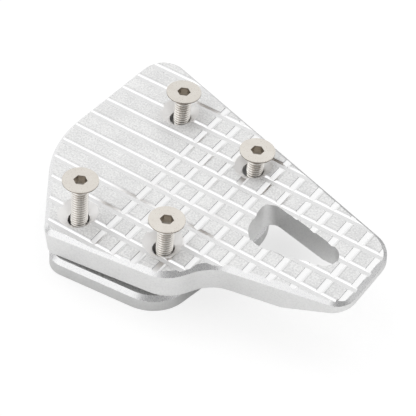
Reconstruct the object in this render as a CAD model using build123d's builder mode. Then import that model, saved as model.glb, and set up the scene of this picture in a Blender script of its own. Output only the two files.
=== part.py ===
from build123d import *
from math import ceil, cos, floor, radians, sin
import os

# Brake pedal extension: a grooved tread plate and a thinner clamp plate, drawn together round a
# pedal by four countersunk screws. All sizes are in millimetres.
# The origin is the middle of the screw pattern on the clamp plate's underside. +X points towards
# the tip of the arm and +Z is up. The tread plate leans, so it is drawn on a plane of its own.

os.makedirs("parts", exist_ok=True)

# Screw pattern, the same in both plates: back left, back right, front left, front right
screw_points = [(-11.6, 19.5), (12.6, 15.1), (-11.0, -19.2), (10.0, -15.4)]

# Tread plate: how far it reaches from the middle of the screws, and the end of its arm
arm_reach = 53.0
heel_reach = 31.1
front_reach = 27.6
back_reach = 34.8
arm_end_width = 20.0
arm_middle = 1.5
plate_thickness = 7.0
edge_chamfer = 1.1
bevel_start = 38.5
tip_thickness = 2.5

# Corners of its outline from the front left round to the left, each with its radius
tread_corners = [
    (-14.0, -front_reach),
    (16.8, -23.5),
    (22.3, -14.7),
    (arm_reach, arm_middle - arm_end_width / 2),
    (arm_reach, arm_middle + arm_end_width / 2),
    (-27.9, back_reach),
    (-heel_reach, -4.6),
]
tread_radii = [3.1, 9.6, 9.4, 4.6, 7.7, 6.0, 25.5]

# Window through the arm: front left, back left, and where its two long sides would meet
window_front = -5.8
window_back = 8.3
sides_meet = 3.6
window_corners = [(23.4, window_front), (arm_reach + sides_meet, arm_middle), (21.5, window_back)]
window_radii = [5.6, 3.1, 2.7]

# Grooves that leave the square pads standing
pad_pitch = 5.4
groove_width = 1.87
groove_depth = 0.4
first_cross_groove = -2.5
cross_groove_lip = 0.2
cross_groove_bottom = 0.25
middle_long_groove = 2.15
long_groove_floor = 0.95

# Screw holes in the tread plate
clearance_diameter = 5.0
countersink_diameter = 9.2

# Clamp plate: corners from the front left round to the left
clamp_front_reach = 28.4
clamp_back_reach = 26.7
clamp_right_reach = 21.5
clamp_left_reach = 17.9
clamp_thickness = 4.0
clamp_chamfer = 1.0
clamp_corners = [
    (-12.1, -clamp_front_reach),
    (16.0, -24.0),
    (clamp_right_reach, 19.7),
    (-17.6, clamp_back_reach),
    (-clamp_left_reach, -20.6),
]
clamp_radii = [5.0, 9.6, 13.5, 6.0, 8.0]

# How the tread plate leans: the gap opens towards this direction, measured from +X
gap_angle = 7.26
gap_direction = 58.6

# Countersunk screws, each turned into the clamp plate by its own depth
shank_diameter = 3.9
thread_clearance = 0.05
screw_length = 20.0
head_diameter = 8.2
head_rim = 0.3
socket_width = 2.7
socket_depth = 2.2
tip_chamfer = 0.5
turned_in = [1.8, 2.7, 2.0, 3.4]

# The lean turns the tread plate about a level line square to the way the gap opens
hinge_line = Axis((0, 0, 0), (sin(radians(gap_direction)), -cos(radians(gap_direction)), 0))
lean = Plane(
    origin=(0, 0, 0),
    x_dir=Vector(1, 0, 0).rotate(hinge_line, gap_angle),
    z_dir=Vector(0, 0, 1).rotate(hinge_line, gap_angle),
)

# Its holes are centred on the upright screws halfway down their straight part, and the lowest
# corner of its underside meets the clamp plate
hole_middle = lean.z_dir * (plate_thickness + (countersink_diameter - clearance_diameter) / 2) / 2
underside = lean.offset(-plate_thickness)
lowest = min(underside.from_local_coords(corner).Z for corner in tread_corners)
tread = Plane(
    origin=(hole_middle.X, hole_middle.Y, clamp_thickness - lowest),
    x_dir=lean.x_dir,
    z_dir=lean.z_dir,
)

with BuildPart(tread) as top_plate:
    with BuildSketch(tread):
        with BuildLine():
            FilletPolyline(*tread_corners, radius=tread_radii, close=True)
        make_face()
    extrude(amount=-plate_thickness)
    upper_face = top_plate.faces().sort_by(Axis(tread.origin, tread.z_dir))[-1]
    chamfer(upper_face.edges(), length=edge_chamfer)

    # Side and end views of the tread, for the bevel under the arm and for the grooves
    side_view = Plane(origin=tread.origin, x_dir=tread.x_dir, z_dir=-tread.y_dir)
    end_view = Plane(origin=tread.origin, x_dir=tread.y_dir, z_dir=tread.x_dir)
    whole_plate = arm_reach + back_reach

    # Bevel that thins the underside of the arm towards its tip
    with BuildSketch(side_view):
        with BuildLine():
            Polyline(
                (bevel_start, -plate_thickness),
                (arm_reach, -tip_thickness),
                (arm_reach, -plate_thickness),
                close=True,
            )
        make_face()
    extrude(amount=whole_plate, both=True, mode=Mode.SUBTRACT)

    # Three-cornered window
    with BuildSketch(tread):
        with BuildLine():
            FilletPolyline(*window_corners, radius=window_radii, close=True)
        make_face()
    extrude(amount=-plate_thickness, mode=Mode.SUBTRACT)

    # Grooves from front to back: a small upright lip, a long slope down and a short slope up
    half_groove = groove_width / 2
    last = floor((arm_reach - first_cross_groove) / pad_pitch)
    with BuildSketch(side_view):
        with Locations(*[(first_cross_groove + pad_pitch * i, 0) for i in range(last + 1)]):
            Polygon(
                (-half_groove, groove_depth),
                (-half_groove, -cross_groove_lip),
                (cross_groove_bottom, -groove_depth),
                (half_groove, 0),
                (half_groove, groove_depth),
                align=None,
            )
    extrude(amount=whole_plate, both=True, mode=Mode.SUBTRACT)

    # Flat-bottomed grooves along the plate, as many as lie between its front and its back
    half_floor = long_groove_floor / 2
    first = ceil((-front_reach - middle_long_groove) / pad_pitch)
    last = floor((back_reach - middle_long_groove) / pad_pitch)
    with BuildSketch(end_view):
        with Locations(*[(middle_long_groove + pad_pitch * i, 0) for i in range(first, last + 1)]):
            Polygon(
                (-half_groove, groove_depth),
                (-half_groove, 0),
                (-half_floor, -groove_depth),
                (half_floor, -groove_depth),
                (half_groove, 0),
                (half_groove, groove_depth),
                align=None,
            )
    extrude(amount=whole_plate, both=True, mode=Mode.SUBTRACT)

    with Locations(*screw_points):
        CounterSinkHole(clearance_diameter / 2, countersink_diameter / 2, counter_sink_angle=90)
top_plate.part.label = "top_plate"

with BuildPart() as clamp_plate:
    with BuildSketch():
        with BuildLine():
            FilletPolyline(*clamp_corners, radius=clamp_radii, close=True)
        make_face()
    extrude(amount=clamp_thickness)
    chamfer(clamp_plate.faces().sort_by(Axis.Z)[-1].edges(), length=clamp_chamfer)
    with Locations(*[(x, y, clamp_thickness) for x, y in screw_points]):
        Hole(shank_diameter / 2 + thread_clearance)
clamp_plate.part.label = "clamp_plate"

# Outline of half a screw, from the middle of its head outwards and down to its tip
head_radius = head_diameter / 2
shank_radius = shank_diameter / 2
cone_end = -head_rim - (head_radius - shank_radius)
screw_profile = [
    (0, 0),
    (head_radius, 0),
    (head_radius, -head_rim),
    (shank_radius, cone_end),
    (shank_radius, tip_chamfer - screw_length),
    (shank_radius - tip_chamfer, -screw_length),
    (0, -screw_length),
]

with BuildPart() as countersunk_screws:
    for (x, y), depth in zip(screw_points, turned_in):
        head_top = Plane((x, y, clamp_thickness - depth + screw_length))
        with BuildSketch(Plane(origin=head_top.origin, x_dir=(1, 0, 0), z_dir=(0, -1, 0))):
            with BuildLine():
                Polyline(*screw_profile, close=True)
            make_face()
        revolve(axis=Axis(head_top.origin, (0, 0, 1)))
        with BuildSketch(head_top):
            RegularPolygon(socket_width / 2, 6, major_radius=False)
        extrude(amount=-socket_depth, mode=Mode.SUBTRACT)
countersunk_screws.part.label = "countersunk_screws"

export_step(top_plate.part, "parts/top_plate.step")
export_step(clamp_plate.part, "parts/clamp_plate.step")
export_step(countersunk_screws.part, "parts/countersunk_screws.step")
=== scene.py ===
import math

import bpy
from mathutils import Matrix, Vector


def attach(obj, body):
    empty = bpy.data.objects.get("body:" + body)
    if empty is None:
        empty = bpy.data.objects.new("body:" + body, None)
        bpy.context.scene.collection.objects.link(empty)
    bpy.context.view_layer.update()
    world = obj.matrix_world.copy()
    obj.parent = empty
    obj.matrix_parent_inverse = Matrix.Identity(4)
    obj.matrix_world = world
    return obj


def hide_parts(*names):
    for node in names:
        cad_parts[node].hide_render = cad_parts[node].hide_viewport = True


# Brake pedal extension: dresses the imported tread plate, clamp plate and screws.
# Lengths on the object and the camera's place are in millimetres, turned into metres with MM.
# The floor, the lamps and the camera's clipping are in metres, and angles are in degrees.

MM = 0.001

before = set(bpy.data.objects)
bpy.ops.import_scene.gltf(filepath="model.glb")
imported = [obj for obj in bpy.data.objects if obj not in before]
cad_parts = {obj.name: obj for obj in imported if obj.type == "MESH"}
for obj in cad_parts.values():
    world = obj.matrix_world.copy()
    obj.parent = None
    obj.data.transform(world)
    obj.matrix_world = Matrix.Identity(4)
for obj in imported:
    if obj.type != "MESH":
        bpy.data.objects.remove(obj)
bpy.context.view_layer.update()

# The tread plate leans: the gap below it opens by this angle towards this direction from +X
GAP_ANGLE = 7.26
GAP_DIRECTION = 58.6
PLATE_THICKNESS = 7.0
COUNTERSINK_DEPTH = 2.1
ARM_REACH = 53.0
PAD_PITCH = 5.4
FIRST_CROSS_GROOVE = -2.5
MIDDLE_LONG_GROOVE = 2.15

# Screws: back left, back right, front left and front right
SCREW_POINTS = [(-11.6, 19.5), (12.6, 15.1), (-11.0, -19.2), (10.0, -15.4)]
SCREW_LENGTH = 20.0
HEAD_RADIUS = 4.1
HEAD_RIM = 0.3
SHANK_RADIUS = 1.95
THREAD_PITCH = 0.7
THREAD_DEPTH = 0.40
SOCKET_WIDTH = 2.7
SOCKET_DEPTH = 2.2
SOCKET_TURN = 30.0
TIP_CHAMFER = 0.5


def tread_frame():
    """The tread's axes as a rotation matrix, and its origin on the upper face, in metres."""
    direction = math.radians(GAP_DIRECTION)
    hinge = Vector((math.sin(direction), -math.cos(direction), 0))
    turn = Matrix.Rotation(math.radians(GAP_ANGLE), 3, hinge)
    up = turn @ Vector((0, 0, 1))
    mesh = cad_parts["top_plate"].data
    height = max(v.co.dot(up) for v in mesh.vertices)
    middle = up * (PLATE_THICKNESS + COUNTERSINK_DEPTH) / 2 * MM
    origin = Vector((middle.x, middle.y, 0))
    origin.z = (height - origin.dot(up)) / up.z
    return turn, origin


# Roughness of every noise texture
NOISE_ROUGHNESS = 0.6


class Nodes:
    """Adds shader nodes to a tree and joins them by name."""

    def __init__(self, tree):
        self.tree = tree
        tree.nodes.clear()

    def add(self, kind, inputs=None, **settings):
        node = self.tree.nodes.new(kind)
        for name, value in settings.items():
            setattr(node, name, value)
        for name, value in (inputs or {}).items():
            self.set(node, name, value)
        return node

    def set(self, node, name, value):
        socket = node.inputs[name]
        if isinstance(value, bpy.types.NodeSocket):
            self.tree.links.new(value, socket)
        else:
            socket.default_value = value

    def math(self, operation, first, second=0.0, third=0.0, clamp=False):
        inputs = {0: first, 1: second, 2: third}
        return self.add("ShaderNodeMath", inputs, operation=operation, use_clamp=clamp).outputs[0]

    def product(self, first, *others):
        for other in others:
            first = self.math("MULTIPLY", first, other)
        return first

    def vector(self, operation, first, second=(0, 0, 0)):
        return self.add("ShaderNodeVectorMath", {0: first, 1: second}, operation=operation).outputs

    def dot(self, vector, axis):
        return self.vector("DOT_PRODUCT", vector, axis)["Value"]

    def distance(self, place, point):
        return self.vector("DISTANCE", place, point)["Value"]

    def grey(self, value):
        return self.add("ShaderNodeCombineColor", {i: value for i in range(3)}).outputs[0]

    def step(self, value, low, high, start=0.0, end=1.0):
        """Smooth step of value from start at low to end at high."""
        node = self.add(
            "ShaderNodeMapRange",
            {"Value": value, "From Min": low, "From Max": high, "To Min": start, "To Max": end},
            interpolation_type="SMOOTHSTEP",
        )
        return node.outputs["Result"]

    def fade(self, length, limits):
        """Smooth step from 0 at the first to 1 at the second of two limits in millimetres."""
        return self.step(length, limits[0] * MM, limits[1] * MM)

    def noise(self, vector, scale, detail=2.0):
        inputs = {"Vector": vector, "Scale": scale, "Detail": detail, "Roughness": NOISE_ROUGHNESS}
        return self.add("ShaderNodeTexNoise", inputs).outputs["Fac"]

    def mix(self, factor, first, second):
        node = self.add("ShaderNodeMix", data_type="FLOAT")
        for index, value in ((0, factor), (2, first), (3, second)):
            self.set(node, index, value)
        return node.outputs[0]

    def mix_colour(self, factor, first, second, blend="MIX"):
        node = self.add("ShaderNodeMix", data_type="RGBA", blend_type=blend)
        for index, value in ((0, factor), (6, first), (7, second)):
            self.set(node, index, value)
        return node.outputs[2]

    def bump(self, height, strength, depth):
        inputs = {"Height": height, "Strength": strength, "Distance": depth * MM}
        return self.add("ShaderNodeBump", inputs).outputs["Normal"]

    def metal(self, colour, roughness, normal):
        """Ends the tree in a bare metal."""
        inputs = {"Base Color": colour, "Roughness": roughness, "Metallic": 1.0, "Normal": normal}
        shader = self.add("ShaderNodeBsdfPrincipled", inputs)
        self.add("ShaderNodeOutputMaterial", {"Surface": shader.outputs["BSDF"]})


def new_material(name):
    """An empty material, and the helper that adds nodes to it."""
    material = bpy.data.materials.new(name)
    material.use_nodes = True
    return material, Nodes(material.node_tree)


# Colours of the plates: blasted walls, the blasted top, tooled edges, and countersinks that are
# tooled and lightened with painted light
BLASTED = (0.845, 0.845, 0.84, 1)
BLASTED_DARK = (0.675, 0.675, 0.675, 1)
TOP = (0.925, 0.925, 0.92, 1)
TOP_DARK = (0.735, 0.735, 0.735, 1)
MACHINED = (0.865, 0.865, 0.865, 1)
MACHINED_DARK = (0.78, 0.78, 0.79, 1)
CONE_PAINTED_LIGHT = (0.955, 0.95, 0.945, 1)
# Grooves from front to back, with painted light and shade: painted shade on the slope down, a
# painted highlight on the slope up and a painted dark line on the upright lip
DOWN_SLOPE_PAINTED_SHADE = (0.77, 0.77, 0.77, 1)
UP_SLOPE_PAINTED_HIGHLIGHT = (1.0, 1.0, 1.0, 1)
LIP_PAINTED_SHADE = (0.56, 0.56, 0.57, 1)
# Grooves along the plate, with painted light and shade: both walls, a painted highlight on the
# back one, painted shade on the upper part of each, and painted shade on the floor
FRONT_WALL_PAINTED_LIGHT = (0.91, 0.91, 0.91, 1)
BACK_WALL_PAINTED_HIGHLIGHT = (1.0, 1.0, 1.0, 1)
WALL_TOP_PAINTED_SHADE = (0.76, 0.76, 0.77, 1)
LONG_FLOOR_PAINTED_SHADE = (0.83, 0.83, 0.83, 1)
# Painted shade: the left and front borders of the pads are multiplied by these
LEFT_BORDER_PAINTED_SHADE = (0.90, 0.90, 0.90, 1)
FRONT_BORDER_PAINTED_SHADE = (0.92, 0.92, 0.92, 1)
# The clamp plate lies in the tread's shade, so its blasted wall and top are darkened by these
CLAMP_WALL_SHADE = 0.82
CLAMP_TOP_SHADE = 0.95

# Kinds of face are told apart by how far their normal points in a direction, from 0 to 1: it
# starts to count at the first of these values and counts in full at the second
TURNED = (0.2, 0.4)
FLAT = (0.994, 0.998)
BORDER_FACING = (0.75, 0.85)
# The normal of a groove's wall has no part along the plate or none across it, so the product
# of the two parts is small
SQUARE = (0.012, 0.004)

# Where the masks begin and end, in millimetres: from the middle of a screw, along the plate,
# below its upper face, and past the middle of a groove
CONE_EDGE = (4.75, 4.62)
LEFT_OUTLINE = (-3.5, -4.0)
TIP = (ARM_REACH - 1.0, ARM_REACH - 1.2)
FIRST_PAD = (FIRST_CROSS_GROOVE, FIRST_CROSS_GROOVE + 0.1)
WALL_TOP_DEPTH = (-0.14, -0.06)
LIP_DEPTH = (-0.34, -0.26)
FLOOR_DEPTH = (-0.30, -0.35)
PAD_ROWS = ((0.85, 1.0), (4.55, 4.4))
LEFT_BORDER_STRIP = ((0.40, 0.65), (1.35, 1.12))
FRONT_BORDER_STRIP = ((0.86, 0.98), (1.36, 1.2))

# Textures of the plates, in features per metre; the cutter's lines are long and thin
GRAIN = 2300.0
FINE_GRAIN = 6000.0
CLOUD = 160.0
CUTTER_LINES = (90.0, 90.0, 6000.0)
# Share of the grain in the mottle, and where the mottle turns from dark to light: it starts
# to do so lower on a wall, and tooled faces go by the grain alone
GRAIN_SHARE = 0.7
SPECKLE = (0.34, 0.66)
WALL_SPECKLE_SHIFT = -0.30
TOOLED_SPECKLE = (0.32, 0.6)
# Heights in the relief: the fine grain on blasted faces, the lines and the grain on tooled ones
FINE_HEIGHT = 0.4
LINES_HEIGHT = 0.6
TOOLED_GRAIN_HEIGHT = 0.5

# Roughness of each kind of face, and how much the grain adds to it
WALL_ROUGHNESS = 0.40
TOP_ROUGHNESS = 0.60
BLASTED_GRAIN = 0.20
TOOLED_ROUGHNESS = 0.20
TOOLED_GRAIN = 0.16
GROOVE_ROUGHNESS = 0.33
CONE_ROUGHNESS = 0.58

# Bump: its strength on the rough top and on smooth faces, how smooth walls and edges count,
# and its depth in millimetres
TOP_BUMP = 0.6
SMOOTH_BUMP = 0.05
WALL_SMOOTHNESS = 0.6
BUMP_DEPTH = 0.06

# How far these faces are shaded as if they looked up
CONE_SOFTNESS = 0.6
UP_SLOPE_SOFTNESS = 0.5


def hole_mask(n, local):
    """1 inside the countersinks of the tread, 0 outside, for a point in the tread's frame."""
    level = n.vector("MULTIPLY", local, (1, 1, 0))[0]
    nearest, *others = [n.distance(level, Vector((x, y, 0)) * MM) for x, y in SCREW_POINTS]
    for gap in others:
        nearest = n.math("MINIMUM", nearest, gap)
    return n.fade(nearest, CONE_EDGE)


def groove_mask(n, x, along, across):
    """1 on faces square to the plate's length or width, as the walls of the grooves are."""
    square = n.step(n.math("ABSOLUTE", n.product(along, across)), *SQUARE)
    # No groove from front to back lies left of this, so such a face there is the outline's
    outline = n.step(n.math("ABSOLUTE", along), *TURNED)
    outline = n.product(outline, n.fade(x, LEFT_OUTLINE))
    return n.product(square, n.math("SUBTRACT", 1.0, outline), n.fade(x, TIP))


def past_groove(n, place, first):
    """How far a point lies past the middle of the last groove before it, in metres."""
    return n.math("WRAP", n.math("SUBTRACT", place, first * MM), PAD_PITCH * MM)


def strip(n, place, limits):
    """1 between two pairs of limits, and 0 outside both."""
    rise, fall = limits
    return n.product(n.fade(place, rise), n.fade(place, fall))


def pad_masks(n, x, y):
    """1 along the left edge of each pad, and 1 along the front edge, where grooves rise to it:
    there shade is painted.
    """
    past_x = past_groove(n, x, FIRST_CROSS_GROOVE)
    past_y = past_groove(n, y, MIDDLE_LONG_GROOVE)
    left = n.product(strip(n, past_x, LEFT_BORDER_STRIP), n.fade(x, FIRST_PAD))
    left = n.product(left, strip(n, past_y, PAD_ROWS))
    return left, strip(n, past_y, FRONT_BORDER_STRIP)


class Faces:
    """Masks of one plate: each is 1 on its own kind of face and 0 on the others."""

    def __init__(self, n, local, turn, tread):
        normal = n.add("ShaderNodeNewGeometry").outputs["True Normal"]
        self.tread = tread
        self.up = turn @ Vector((0, 0, 1))
        facing = n.dot(normal, self.up)
        above_wall = n.step(facing, *TURNED)
        self.flat = n.step(facing, *FLAT)
        self.wall = n.math("SUBTRACT", 1.0, above_wall)
        # Faces that lean between the flat top and the upright walls were cut by a tool
        self.machined = n.product(n.math("SUBTRACT", 1.0, self.flat), above_wall)
        self.smooth = 0.0
        if tread:
            along = n.dot(normal, turn @ Vector((1, 0, 0)))
            across = n.dot(normal, turn @ Vector((0, 1, 0)))
            self.add_grooves_and_holes(n, local, facing, along, across)

    def add_grooves_and_holes(self, n, local, facing, along, across):
        place = n.add("ShaderNodeSeparateXYZ", {"Vector": local}).outputs
        x, y, depth = place["X"], place["Y"], place["Z"]
        low, high = TURNED
        self.cone = n.product(self.machined, hole_mask(n, local))
        self.smooth = n.math("MAXIMUM", groove_mask(n, x, along, across), self.cone)
        self.up_slope = n.step(along, -low, -high)
        self.back_wall = n.step(across, -low, -high)
        self.long_wall = n.step(n.math("ABSOLUTE", across), low, high)
        self.wall_top = n.product(self.long_wall, n.fade(depth, WALL_TOP_DEPTH))
        self.lip = n.product(self.wall, self.smooth, n.fade(depth, LIP_DEPTH))
        self.floor = n.product(self.flat, n.fade(depth, FLOOR_DEPTH))
        left, front = pad_masks(n, x, y)
        self.left_border = n.product(left, n.step(facing, *BORDER_FACING))
        self.front_border = n.product(front, self.flat)


def shaded(colour, shade):
    return tuple(value * shade for value in colour[:3]) + (1,)


def plate_colour(n, faces, grain, local, wall_shade, top_shade):
    """Mottled blasting and brighter tooled edges, with painted light and shade in the tread's
    grooves, along its pads and in its countersinks.
    """
    cloud = n.noise(local, CLOUD, detail=3.0)
    mottle = n.math("ADD", n.product(grain, GRAIN_SHARE), n.product(cloud, 1.0 - GRAIN_SHARE))
    low, high = SPECKLE
    low = n.math("MULTIPLY_ADD", faces.wall, WALL_SPECKLE_SHIFT, low)
    light = n.mix_colour(faces.flat, shaded(BLASTED, wall_shade), shaded(TOP, top_shade))
    dark = n.mix_colour(faces.flat, shaded(BLASTED_DARK, wall_shade), shaded(TOP_DARK, top_shade))
    blasted = n.mix_colour(n.step(mottle, low, high), dark, light)
    tooled = n.mix_colour(n.step(grain, *TOOLED_SPECKLE), MACHINED_DARK, MACHINED)
    if not faces.tread:
        return n.mix_colour(faces.machined, blasted, tooled)

    # Painted light and shade in the grooves, by which way each of their faces looks
    groove = n.mix_colour(faces.up_slope, DOWN_SLOPE_PAINTED_SHADE, UP_SLOPE_PAINTED_HIGHLIGHT)
    groove = n.mix_colour(faces.long_wall, groove, FRONT_WALL_PAINTED_LIGHT)
    groove = n.mix_colour(faces.back_wall, groove, BACK_WALL_PAINTED_HIGHLIGHT)
    groove = n.mix_colour(faces.wall_top, groove, WALL_TOP_PAINTED_SHADE)
    tooled = n.mix_colour(faces.smooth, tooled, groove)
    blasted = n.mix_colour(faces.lip, blasted, LIP_PAINTED_SHADE)
    colour = n.mix_colour(faces.machined, blasted, tooled)
    colour = n.mix_colour(faces.floor, colour, LONG_FLOOR_PAINTED_SHADE)
    colour = n.mix_colour(faces.left_border, colour, LEFT_BORDER_PAINTED_SHADE, "MULTIPLY")
    colour = n.mix_colour(faces.front_border, colour, FRONT_BORDER_PAINTED_SHADE, "MULTIPLY")
    return n.mix_colour(faces.cone, colour, CONE_PAINTED_LIGHT)


def plate_roughness(n, faces, grain):
    base = n.mix(faces.flat, WALL_ROUGHNESS, TOP_ROUGHNESS)
    blasted = n.math("MULTIPLY_ADD", grain, BLASTED_GRAIN, base)
    tooled = n.math("MULTIPLY_ADD", grain, TOOLED_GRAIN, TOOLED_ROUGHNESS)
    if faces.tread:
        plain = n.mix(faces.cone, GROOVE_ROUGHNESS, CONE_ROUGHNESS)
        tooled = n.mix(faces.smooth, tooled, plain)
    return n.mix(faces.machined, blasted, tooled)


def plate_normal(n, faces, grain, local):
    """Grain on blasted faces, and fine lines of the cutter that run level round the chamfers."""
    fine = n.noise(local, FINE_GRAIN)
    lines = n.noise(n.vector("MULTIPLY", local, CUTTER_LINES)[0], scale=1.0)
    lines = n.product(lines, LINES_HEIGHT)
    blasted = n.math("ADD", grain, n.product(fine, FINE_HEIGHT))
    tooled = n.math("ADD", lines, n.product(grain, TOOLED_GRAIN_HEIGHT))
    calm = n.product(n.math("MAXIMUM", faces.wall, faces.machined), WALL_SMOOTHNESS)
    calm = n.math("MAXIMUM", faces.smooth, calm)
    strength = n.math("MULTIPLY_ADD", calm, SMOOTH_BUMP - TOP_BUMP, TOP_BUMP)
    normal = n.bump(n.mix(faces.machined, blasted, tooled), strength, BUMP_DEPTH)
    if not faces.tread:
        return normal

    up_slope = n.product(faces.up_slope, faces.smooth, faces.machined)
    softness = n.product(faces.cone, CONE_SOFTNESS)
    softness = n.math("MULTIPLY_ADD", up_slope, UP_SLOPE_SOFTNESS, softness)
    lift = n.add("ShaderNodeVectorMath", {0: faces.up}, operation="SCALE")
    n.set(lift, "Scale", softness)
    return n.vector("NORMALIZE", n.vector("ADD", normal, lift.outputs[0])[0])[0]


def aluminium(name, turn, origin, wall_shade=1.0, top_shade=1.0, tread=False):
    """Bead-blasted aluminium with tooled edges; turn and origin give the plate's own frame."""
    material, n = new_material(name)
    place = n.add("ShaderNodeTexCoord").outputs["Object"]
    mapping = n.add("ShaderNodeMapping", {"Vector": place}, vector_type="TEXTURE")
    mapping.inputs["Location"].default_value = origin
    mapping.inputs["Rotation"].default_value = turn.to_euler()
    local = mapping.outputs["Vector"]
    faces = Faces(n, local, turn, tread)
    grain = n.noise(local, GRAIN)
    n.metal(
        plate_colour(n, faces, grain, local, wall_shade, top_shade),
        plate_roughness(n, faces, grain),
        plate_normal(n, faces, grain, local),
    )
    return material


# Steel of the screws: two tones, painted shade for the recesses, a painted highlight on the crest
# of the thread, and the darker top of the head
SCREW_LIGHT = (0.78, 0.745, 0.69, 1)
SCREW_DARK = (0.735, 0.695, 0.64, 1)
SCREW_PAINTED_SHADE = (0.20, 0.155, 0.12, 1)
THREAD_CREST_PAINTED_HIGHLIGHT = (1.0, 0.98, 0.95, 1)
HEAD_TOP = (0.885, 0.885, 0.885, 1)
HEAD_FACING = (0.9, 0.99)
STEEL_GRAIN = 2600.0
STEEL_CLOUD = 420.0
STEEL_GRAIN_SHARE = 0.5
STEEL_SPECKLE = (0.36, 0.62)
STEEL_ROUGHNESS = 0.22
GRAIN_ON_STEEL = 0.15
STEEL_BUMP = 0.3
STEEL_BUMP_DEPTH = 0.03


def screw_steel():
    """Warm plain steel, with painted shade in the thread's root, in the socket and under the head,
    and a painted highlight on the thread's crest.
    """
    material, n = new_material("screw_steel")
    place = n.add("ShaderNodeTexCoord").outputs["Object"]
    grain = n.noise(place, STEEL_GRAIN, detail=3.0)
    cloud = n.product(n.noise(place, STEEL_CLOUD), 1.0 - STEEL_GRAIN_SHARE)
    mottle = n.math("ADD", n.product(grain, STEEL_GRAIN_SHARE), cloud)
    colour = n.mix_colour(n.step(mottle, *STEEL_SPECKLE), SCREW_DARK, SCREW_LIGHT)
    # Painted shade in the recesses, and a painted highlight on the thread's crest
    painted_shading = n.add("ShaderNodeAttribute", attribute_name="painted_shading").outputs["Fac"]
    colour = n.mix_colour(painted_shading, colour, SCREW_PAINTED_SHADE)
    crest = n.math("MULTIPLY", painted_shading, -1.0, clamp=True)
    colour = n.mix_colour(crest, colour, THREAD_CREST_PAINTED_HIGHLIGHT)
    facing = n.dot(n.add("ShaderNodeNewGeometry").outputs["True Normal"], (0, 0, 1))
    colour = n.mix_colour(n.step(facing, *HEAD_FACING), colour, HEAD_TOP, "MULTIPLY")
    roughness = n.math("MULTIPLY_ADD", grain, GRAIN_ON_STEEL, STEEL_ROUGHNESS)
    n.metal(colour, roughness, n.bump(grain, STEEL_BUMP, STEEL_BUMP_DEPTH))
    return material


def dress(node, material):
    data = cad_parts[node].data
    data.materials.clear()
    data.materials.append(material)


# Mesh of a screw: points in a loop, loops in a turn of the thread, and the angle of sharp edges
SIDES = 72
ROWS_PER_PITCH = 8
SHARP_ANGLE = 28
# The plain screw's points within this many radii of its axis belong to it and not to another
SEARCH_RADII = 1.1
# Edges of the head and of its socket are broken by this much
EDGE = 0.05
# The socket's floor dips to its middle: outline inside the hexagon, and how much deeper it is
SOCKET_FLOOR = [(-1.1, 0.15), (-0.5, 0.08), (0.0, 0.0)]
# Loops that divide the flat of the head
FLAT_LOOPS = [2.2, 3.2]
# The head meets the shank this much below the shank's radius, and the thread is at its full
# depth after this share of a turn
NECK = 0.08
THREAD_START = 0.8
# How much of half a turn is the thread's root, and how much its flank
ROOT_SHARE = 0.12
FLANK_SHARE = 0.72


def ring(radius_of_angle, height, painted_shading=0.0):
    """One closed loop round the screw's axis: x, y and z in millimetres, and the painted shading.

    The painted shading is 1 where shade is painted darkest, and -1 where a highlight is painted on
    the crest of the thread.
    """
    points = []
    for i in range(SIDES):
        angle = 2 * math.pi * i / SIDES
        radius = radius_of_angle(angle)
        dark = painted_shading(angle) if callable(painted_shading) else painted_shading
        points.append((radius * math.cos(angle), radius * math.sin(angle), height, dark))
    return points


def circle(radius, height, painted_shading=0.0):
    return ring(lambda angle: radius, height, painted_shading)


def hexagon(grow, height, painted_shading=0.0):
    """The socket's outline grown by this much, with its corners turned by SOCKET_TURN."""

    def radius(angle):
        part = (angle - math.radians(SOCKET_TURN)) % (math.pi / 3) - math.pi / 6
        return (SOCKET_WIDTH / 2 + grow) / math.cos(part)

    return ring(radius, height, painted_shading)


def thread_ring(height, crest, root):
    """A loop of the threaded shank at this height: its radius follows the right-hand helix."""

    def flank(angle):
        phase = (height / THREAD_PITCH - angle / (2 * math.pi)) % 1.0
        return min(1.0, max(0.0, (abs(2 * phase - 1) - ROOT_SHARE) / FLANK_SHARE))

    def radius(angle):
        return root + (crest - root) * flank(angle)

    return ring(radius, height, lambda angle: 1 - 2 * flank(angle))


def head_loops(cone_end):
    """Loops from the middle of the socket's floor out over the head and down its cone.

    A third number is the painted shading: shade is painted in the socket and under the head.
    """
    return [
        *[hexagon(grow, -SOCKET_DEPTH - deeper) for grow, deeper in SOCKET_FLOOR],
        hexagon(0.0, -SOCKET_DEPTH * 0.6, 0.18),
        hexagon(0.0, -EDGE, 0.55),
        hexagon(EDGE, 0.0),
        *[circle(radius, 0.0) for radius in FLAT_LOOPS],
        circle(HEAD_RADIUS - EDGE, 0.0),
        circle(HEAD_RADIUS, -EDGE),
        circle(HEAD_RADIUS, -HEAD_RIM * 0.4),
        circle(HEAD_RADIUS, -HEAD_RIM * 0.5, 1.0),
        circle(HEAD_RADIUS, -HEAD_RIM, 1.0),
        circle(HEAD_RADIUS - 0.02, -HEAD_RIM - 0.02, 0.9),
        circle((HEAD_RADIUS + SHANK_RADIUS) / 2, (cone_end - HEAD_RIM) / 2, 0.8),
        circle(SHANK_RADIUS - NECK, cone_end + NECK, 0.5),
    ]


def screw_loops():
    """All loops of a screw, from the middle of its socket's floor to its tip."""
    start = -HEAD_RIM - (HEAD_RADIUS - SHANK_RADIUS)
    end = -SCREW_LENGTH
    loops = head_loops(start)
    rows = round((start - end) / THREAD_PITCH * ROWS_PER_PITCH)
    for i in range(rows + 1):
        height = start + (end - start) * i / rows
        into_thread = min(1.0, (start - height) / (THREAD_PITCH * THREAD_START))
        crest = min(SHANK_RADIUS, SHANK_RADIUS - TIP_CHAMFER + (height - end))
        root = SHANK_RADIUS - NECK - (THREAD_DEPTH - NECK) * into_thread
        loops.append(thread_ring(height, crest, min(root, crest)))
    loops.append(circle((SHANK_RADIUS - THREAD_DEPTH) / 2, end))
    return loops


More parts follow.
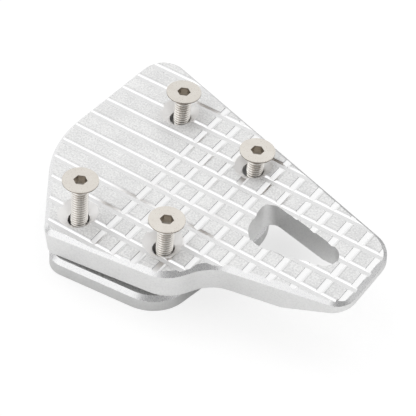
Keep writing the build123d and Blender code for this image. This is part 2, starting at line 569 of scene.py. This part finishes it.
def screw_mesh():
    loops = screw_loops()
    points = [p for loop in loops for p in loop]
    faces = []
    for k in range(len(loops) - 1):
        for i in range(SIDES):
            j = (i + 1) % SIDES
            a, b = k * SIDES, (k + 1) * SIDES
            faces.append((a + i, b + i, b + j, a + j))
    faces.append(tuple(range(SIDES)))
    last = (len(loops) - 1) * SIDES
    faces.append(tuple(range(last + SIDES - 1, last - 1, -1)))
    mesh = bpy.data.meshes.new("screw")
    mesh.from_pydata([Vector(p[:3]) * MM for p in points], [], faces)
    # The painted shade and highlight of each point, kept on the mesh
    painted_shading = mesh.attributes.new("painted_shading", "FLOAT", "POINT")
    painted_shading.data.foreach_set("value", [p[3] for p in points])
    mesh.update()
    return mesh


def add_screws():
    """A threaded screw in the place of each plain one, with its head level with that one's."""
    steel = screw_steel()
    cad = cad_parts["countersunk_screws"].data
    reach = SEARCH_RADII * HEAD_RADIUS * MM
    for i, (x, y) in enumerate(SCREW_POINTS):
        middle = Vector((x, y)) * MM
        head_top = max(v.co.z for v in cad.vertices if (v.co.xy - middle).length < reach)
        mesh = screw_mesh()
        mesh.transform(Matrix.Translation((middle.x, middle.y, head_top)))
        mesh.materials.append(steel)
        mesh.polygons.foreach_set("use_smooth", [True] * len(mesh.polygons))
        mesh.set_sharp_from_angle(angle=math.radians(SHARP_ANGLE))
        screw = bpy.data.objects.new(f"threaded_screw_{i + 1}", mesh)
        bpy.context.scene.collection.objects.link(screw)
        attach(screw, "root")
        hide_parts("countersunk_screws")


FLOOR_SIZE = 6.0
# How grey the floor is and how much it glows: as the camera sees it, and as metal reflects it
FLOOR_SEEN = (0.33, 0.75)
FLOOR_IN_METAL = (0.78, 0.295)
FLOOR_LIT = (0.86, 0.86, 0.86, 1)
# Painted shade and a painted pool of light on the floor, in reflections only: place, radius and
# change
REFLECTED_PAINTED_SHADE_AND_LIGHT = [
    ((0.04, 0.11), 0.13, -0.75),
    ((0.024, -0.007), 0.015, -0.75),
    ((0.040, 0.004), 0.010, 0.45),
]
# A painted shadow on the floor as the camera sees it, under the arm
SEEN_PAINTED_SHADOW = [((0.026, 0.0126), 0.019, -0.16)]


def glowing_floor(n, place, grey, glow, painted_patches):
    """A grey floor that takes shadows and glows a little, both changed alike in its patches of
    painted shadow and light.
    """
    scale = 1.0
    for middle, radius, change in painted_patches:
        gap = n.distance(place, Vector((*middle, 0)))
        scale = n.product(n.step(gap, 0.0, radius, 1.0 + change, 1.0), scale)
    diffuse = n.add("ShaderNodeBsdfDiffuse", {"Color": n.grey(n.product(scale, grey))})
    light = n.add("ShaderNodeEmission", {"Strength": n.product(scale, glow)})
    return n.add("ShaderNodeAddShader", {0: diffuse.outputs[0], 1: light.outputs[0]}).outputs[0]


def add_floor():
    """A white floor that looks one way to the camera and another in metal."""
    material, n = new_material("floor_white")
    path = n.add("ShaderNodeLightPath").outputs
    place = n.add("ShaderNodeTexCoord").outputs["Object"]
    in_metal = glowing_floor(n, place, *FLOOR_IN_METAL, REFLECTED_PAINTED_SHADE_AND_LIGHT)
    in_view = glowing_floor(n, place, *FLOOR_SEEN, SEEN_PAINTED_SHADOW)
    plain = n.add("ShaderNodeBsdfDiffuse", {"Color": FLOOR_LIT}).outputs[0]
    surface = n.add("ShaderNodeMixShader", {0: path["Is Glossy Ray"], 1: plain, 2: in_metal})
    seen = n.math("MAXIMUM", path["Is Camera Ray"], path["Is Transmission Ray"])
    surface = n.add("ShaderNodeMixShader", {0: seen, 1: surface.outputs[0], 2: in_view})
    n.add("ShaderNodeOutputMaterial", {"Surface": surface.outputs[0]})
    half = FLOOR_SIZE / 2
    mesh = bpy.data.meshes.new("floor")
    corners = [(-half, -half, 0), (half, -half, 0), (half, half, 0), (-half, half, 0)]
    mesh.from_pydata(corners, [], [(0, 1, 2, 3)])
    mesh.materials.append(material)
    floor = bpy.data.objects.new("floor", mesh)
    bpy.context.scene.collection.objects.link(floor)


# Soft boxes of the studio: azimuth from +X, elevation, inner and outer angle, strength added
SOFT_BOXES = [
    (130, 47, 15, 60, 0.40),
    (69, 53, 12, 34, 0.55),
    (-119, 33, 14, 36, 0.65),
    (-42, 41, 10, 42, -0.32),
    (84, 4, 8, 30, -0.30),
]
STUDIO_LEVEL = 0.80
# Round lamps: what they are aimed at, azimuth, elevation, distance, size and power
LAMPS = [
    ((0.012, 0.0, 0.01), 176, 48, 0.55, 0.22, 0.22),
    ((0.045, 0.0, 0.015), 127, 54, 0.22, 0.18, 0.012),
]


def direction(azimuth, elevation):
    a, e = math.radians(azimuth), math.radians(elevation)
    return Vector((math.cos(a) * math.cos(e), math.sin(a) * math.cos(e), math.sin(e)))


def add_world():
    """Soft boxes over an even light, and plain white where the camera looks past the floor."""
    world = bpy.data.worlds.new("studio")
    bpy.context.scene.world = world
    world.use_nodes = True
    n = Nodes(world.node_tree)
    toward = n.add("ShaderNodeTexCoord").outputs["Generated"]
    level = STUDIO_LEVEL
    for azimuth, elevation, inner, outer, strength in SOFT_BOXES:
        aim = n.dot(toward, direction(azimuth, elevation))
        low, high = math.cos(math.radians(outer)), math.cos(math.radians(inner))
        level = n.math("ADD", n.step(aim, low, high, 0.0, strength), level)
    camera = n.add("ShaderNodeLightPath").outputs["Is Camera Ray"]
    background = n.add("ShaderNodeBackground", {"Strength": n.mix(camera, level, 1.0)})
    n.add("ShaderNodeOutputWorld", {"Surface": background.outputs[0]})


def add_lamps():
    for i, (target, azimuth, elevation, distance, size, power) in enumerate(LAMPS):
        light = bpy.data.lights.new(f"lamp_{i + 1}", "AREA")
        light.shape = "DISK"
        light.size = size
        light.energy = power
        lamp = bpy.data.objects.new(f"lamp_{i + 1}", light)
        bpy.context.scene.collection.objects.link(lamp)
        aim = direction(azimuth, elevation)
        lamp.location = Vector(target) + aim * distance
        lamp.rotation_mode = "QUATERNION"
        lamp.rotation_quaternion = aim.to_track_quat("Z", "Y")


# The camera's place and axes were worked out from the tread's square grid
CAMERA_PLACE = (149.05, -223.54, 269.09)
CAMERA_RIGHT = (0.80503, 0.58806, 0.07819)
CAMERA_DOWN = (0.45810, -0.53248, -0.71176)
FOCAL_PIXELS = 1632.9
FRAME_PIXELS = 416
HALF_PIXEL = 0.5
SENSOR_WIDTH = 36.0
NEAREST, FARTHEST = 0.01, 20.0


def add_camera():
    data = bpy.data.cameras.new("camera")
    data.sensor_fit = "HORIZONTAL"
    data.sensor_width = SENSOR_WIDTH
    data.lens = FOCAL_PIXELS / FRAME_PIXELS * SENSOR_WIDTH
    data.shift_x = -HALF_PIXEL / FRAME_PIXELS
    data.shift_y = HALF_PIXEL / FRAME_PIXELS
    data.clip_start = NEAREST
    data.clip_end = FARTHEST
    camera = bpy.data.objects.new("camera", data)
    bpy.context.scene.collection.objects.link(camera)
    right = Vector(CAMERA_RIGHT).normalized()
    back = right.cross(-Vector(CAMERA_DOWN)).normalized()
    up = back.cross(right)
    axes = Matrix((right, up, back)).transposed()
    camera.matrix_world = Matrix.Translation(Vector(CAMERA_PLACE) * MM) @ axes.to_4x4()
    bpy.context.scene.camera = camera


clamp_frame = Matrix.Identity(3), Vector((0, 0, 0))
clamp_shades = CLAMP_WALL_SHADE, CLAMP_TOP_SHADE
dress("top_plate", aluminium("tread_aluminium", *tread_frame(), tread=True))
dress("clamp_plate", aluminium("clamp_aluminium", *clamp_frame, *clamp_shades))
add_screws()
add_floor()
add_world()
add_lamps()
add_camera()
bpy.context.scene.view_settings.view_transform = "Standard"
